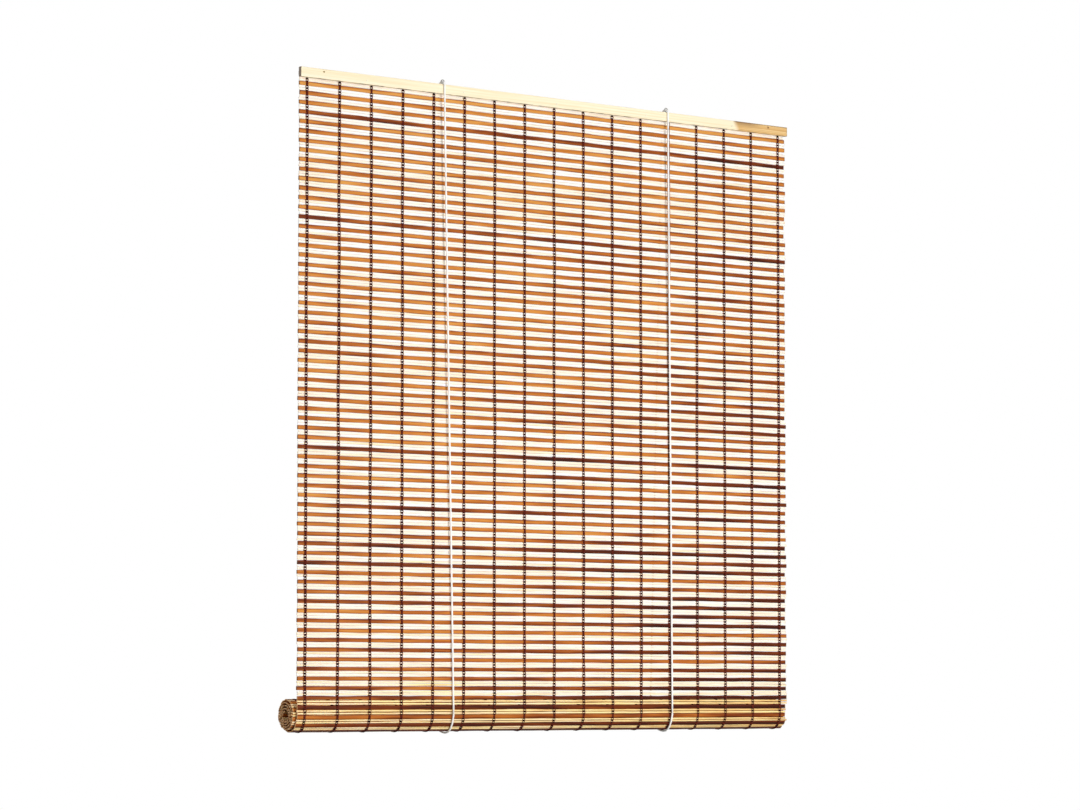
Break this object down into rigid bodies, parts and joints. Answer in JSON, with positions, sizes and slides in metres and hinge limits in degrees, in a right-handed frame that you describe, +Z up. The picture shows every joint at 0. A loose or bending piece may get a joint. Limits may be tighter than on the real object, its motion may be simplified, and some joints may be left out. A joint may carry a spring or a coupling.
{
  "type": "roll-up wooden slat blind",
  "caption": "Roll-up window blind of woven brown and pale wooden slats on dark warps, hung from a pine headrail, its lower end rolled up on lift cords.",
  "frame": {"origin": "midway between the two wall screws, on the back face of the headrail", "axes": "+X to the right seen from the room, +Y into the wall, +Z up"},
  "size_m": [1, 0.072, 1.0764],
  "materials": {
    "headrail_pine": "planed bare pine, satin",
    "slat_wood": "split bare slats, brown stained and natural in turn",
    "warp_thread": "twisted dark brown thread",
    "lift_cord": "braided white cord",
    "steel_wire": "plain drawn wire"
  },
  "bodies": {
    "headrail": {"headrail": "headrail_pine", "headrail_nails": "steel_wire", "slat_mat": "slat_wood", "warp_01": "warp_thread", "warp_02": "warp_thread", "warp_03": "warp_thread", "warp_04": "warp_thread", "warp_05": "warp_thread", "warp_06": "warp_thread", "warp_07": "warp_thread", "warp_08": "warp_thread", "warp_09": "warp_thread", "warp_10": "warp_thread", "warp_11": "warp_thread", "warp_12": "warp_thread", "warp_13": "warp_thread", "warp_14": "warp_thread", "warp_15": "warp_thread", "warp_16": "warp_thread", "warp_17": "warp_thread", "screw_eye_left": "steel_wire", "screw_eye_right": "steel_wire", "cord_knot_left": "lift_cord", "cord_knot_right": "lift_cord", "cord_front_left": "lift_cord", "cord_front_right": "lift_cord", "cord_back_left": "lift_cord", "cord_back_right": "lift_cord"},
    "lift_loops": {"cord_bight_left": "lift_cord", "cord_bight_right": "lift_cord"},
    "roll": {"roll": "slat_wood", "roll_warps": "warp_thread"}
  },
  "joints": [
    {"name": "roll_lift", "type": "slide", "parent": "headrail", "child": "lift_loops", "axis": [0, 0, 1], "range_m": [0, 0.9], "deforming": ["slat_mat", "warp_01", "warp_02", "warp_03", "warp_04", "warp_05", "warp_06", "warp_07", "warp_08", "warp_09", "warp_10", "warp_11", "warp_12", "warp_13", "warp_14", "warp_15", "warp_16", "warp_17", "cord_front_left", "cord_front_right", "cord_back_left", "cord_back_right"]},
    {"name": "roll_turn", "type": "hinge", "parent": "lift_loops", "child": "roll", "pos_m": [0, 0.0285, -1.0303], "axis": [1, 0, 0], "range_deg": [0, 1440]}
  ],
  "couplings": [
    {"joint": "roll_turn", "follows": "roll_lift", "rad_per_m": 27.925}
  ]
}
